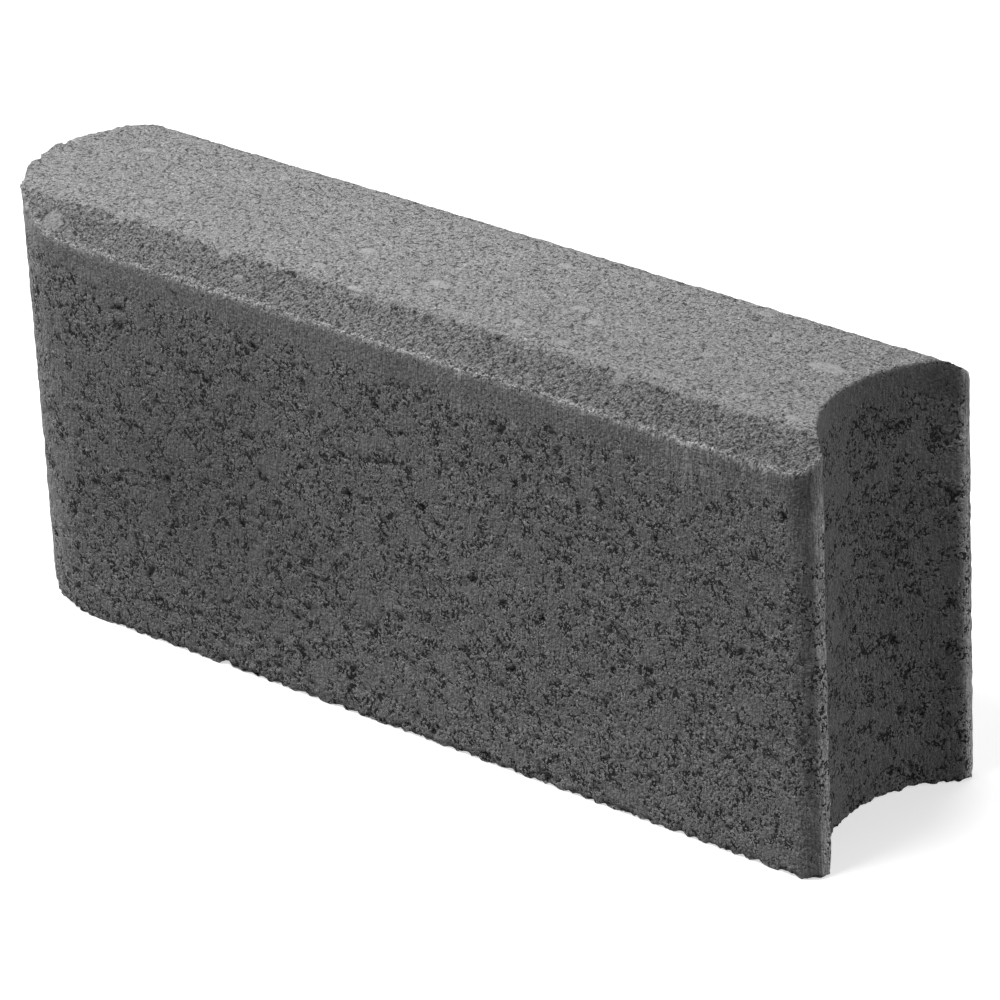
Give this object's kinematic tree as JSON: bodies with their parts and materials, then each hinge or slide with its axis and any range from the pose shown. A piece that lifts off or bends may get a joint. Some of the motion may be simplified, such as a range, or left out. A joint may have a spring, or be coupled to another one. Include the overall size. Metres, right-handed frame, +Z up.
{
  "type": "concrete kerb stone",
  "caption": "Concrete kerb stone with bevelled top edges, a half-round nose at one end and a matching concave socket at the other.",
  "frame": {"origin": "middle of the underside", "axes": "+X along the stone towards the concave socket end, -X towards the half-round nose, +Y across the stone, +Z up"},
  "size_m": [0.4, 0.1, 0.17],
  "materials": {
    "concrete": "rough, open-grained pressed concrete"
  },
  "bodies": {
    "root": {"kerb_stone": "concrete"}
  },
  "joints": []
}
